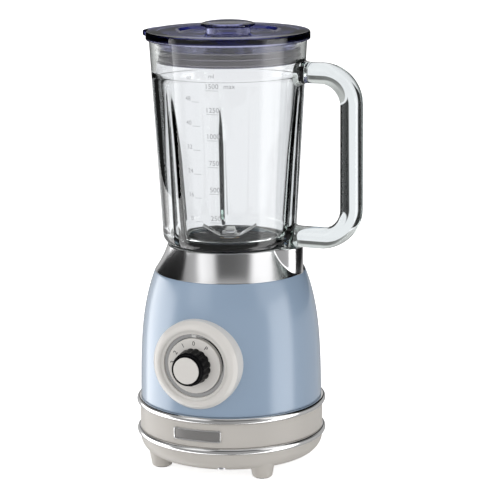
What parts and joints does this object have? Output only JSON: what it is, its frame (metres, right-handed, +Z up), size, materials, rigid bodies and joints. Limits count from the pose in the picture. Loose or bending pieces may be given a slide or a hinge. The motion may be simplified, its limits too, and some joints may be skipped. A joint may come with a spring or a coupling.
{
  "type": "countertop blender",
  "caption": "Countertop blender with a round clear glass jar and loop handle, flared steel collar, domed motor base with a rotary dial, chrome-ringed foot band and a lift-off lid.",
  "frame": {"origin": "on the upright axis of the motor and jar, at the height of the worktop", "axes": "+Z up along the motor axis; the dial faces -Y; the jar's handle points to +X"},
  "size_m": [0.2132, 0.1934, 0.4054],
  "materials": {
    "body_paint": "satin powder-blue lacquer",
    "cream_plastic": "satin cream moulding",
    "trim_chrome": "polished",
    "collar_steel": "fine brushed, bright",
    "badge_metal": "satin",
    "dial_cream": "satin cream moulding",
    "dial_chrome": "polished",
    "index_clear": "clear lens",
    "knob_black": "satin black moulding",
    "clear_glass": "clear, faint green in the thick foot",
    "lid_smoke": "clear smoky violet moulding",
    "gasket_clear": "translucent grey silicone",
    "blade_steel": "polished",
    "base_grey": "grey moulding",
    "black_plastic": "fine satin grain",
    "black_rubber": "matt",
    "screw_steel": "zinc plated",
    "shaft_steel": "ground",
    "cast_bracket": "die cast",
    "lamination": "varnished sheet stack",
    "copper": "enamelled copper wire",
    "commutator_copper": "copper bars",
    "carbon": "graphite",
    "board_green": "circuit board",
    "bronze": "sintered bronze",
    "spring_steel": "spring wire"
  },
  "bodies": {
    "base": {"foot_rear_right": "cream_plastic", "foot_rear_left": "cream_plastic", "foot_front_left": "cream_plastic", "foot_front_right": "cream_plastic", "foot_pads": "black_rubber", "base_pan": "cream_plastic", "pan_screws": "screw_steel", "trim_ring_lower": "trim_chrome", "trim_band": "cream_plastic", "trim_ring_upper": "trim_chrome", "badge_plate": "badge_metal", "cord_gland": "black_rubber", "motor_housing": "body_paint", "steel_collar": "collar_steel", "jar_seat": "black_plastic", "seat_screws": "screw_steel", "circuit_board": "board_green", "board_screws": "screw_steel", "motor_mounts": "black_rubber", "motor_screws": "screw_steel", "upper_bracket": "cast_bracket", "lower_bracket": "cast_bracket", "upper_bearing": "shaft_steel", "lower_bearing": "shaft_steel", "motor_bolts": "screw_steel", "stator": "lamination", "field_coils": "copper", "brush_holders": "black_plastic", "carbon_brushes": "carbon", "interlock_switch": "black_plastic", "dial_bezel": "dial_cream", "dial_ring": "dial_chrome", "index_mark": "index_clear", "speed_switch": "black_plastic", "switch_nut": "screw_steel"},
    "rotor": {"motor_shaft": "shaft_steel", "rotor_core": "lamination", "rotor_windings": "copper", "commutator": "commutator_copper", "cooling_fan": "black_plastic", "drive_coupler": "black_plastic"},
    "knob": {"switch_spindle": "black_plastic", "dial_plate": "dial_cream", "knob_grip": "knob_black", "knob_disc": "dial_cream"},
    "interlock": {"interlock_pin": "black_plastic", "interlock_spring": "spring_steel"},
    "jar": {"jar": "clear_glass", "blade_base": "base_grey", "jar_seal": "black_rubber", "retaining_ring": "black_plastic", "spindle_bush": "bronze"},
    "blades": {"blade_spindle": "shaft_steel", "driven_coupler": "black_plastic", "lower_blades": "blade_steel", "upper_blades": "blade_steel", "blade_nut": "blade_steel"},
    "lid": {"lid": "lid_smoke", "lid_gasket": "gasket_clear"},
    "cap": {"lid_cap": "lid_smoke"}
  },
  "joints": [
    {"name": "rotor_spin", "type": "hinge", "parent": "base", "child": "rotor", "pos_m": [0, 0, 0.1], "axis": [0, 0, 1], "continuous": true},
    {"name": "knob_turn", "type": "hinge", "parent": "base", "child": "knob", "pos_m": [0, 0, 0.1082], "axis": [0, -1, 0], "range_deg": [-90, 35]},
    {"name": "interlock_travel", "type": "slide", "parent": "base", "child": "interlock", "axis": [0, 0, 1], "range_m": [0, 0.003], "deforming": ["interlock_spring"]},
    {"name": "jar_lift", "type": "slide", "parent": "base", "child": "jar", "axis": [0, 0, 1], "range_m": [0, 0.08]},
    {"name": "blades_spin", "type": "hinge", "parent": "jar", "child": "blades", "pos_m": [0, 0, 0.2], "axis": [0, 0, 1], "continuous": true},
    {"name": "lid_lift", "type": "slide", "parent": "jar", "child": "lid", "axis": [0, 0, 1], "range_m": [0, 0.05]},
    {"name": "cap_lift", "type": "slide", "parent": "lid", "child": "cap", "axis": [0, 0, 1], "range_m": [0, 0.045]}
  ],
  "couplings": [
    {"joint": "blades_spin", "follows": "rotor_spin", "ratio": 1},
    {"joint": "interlock_travel", "follows": "jar_lift", "ratio": 0.0375}
  ]
}
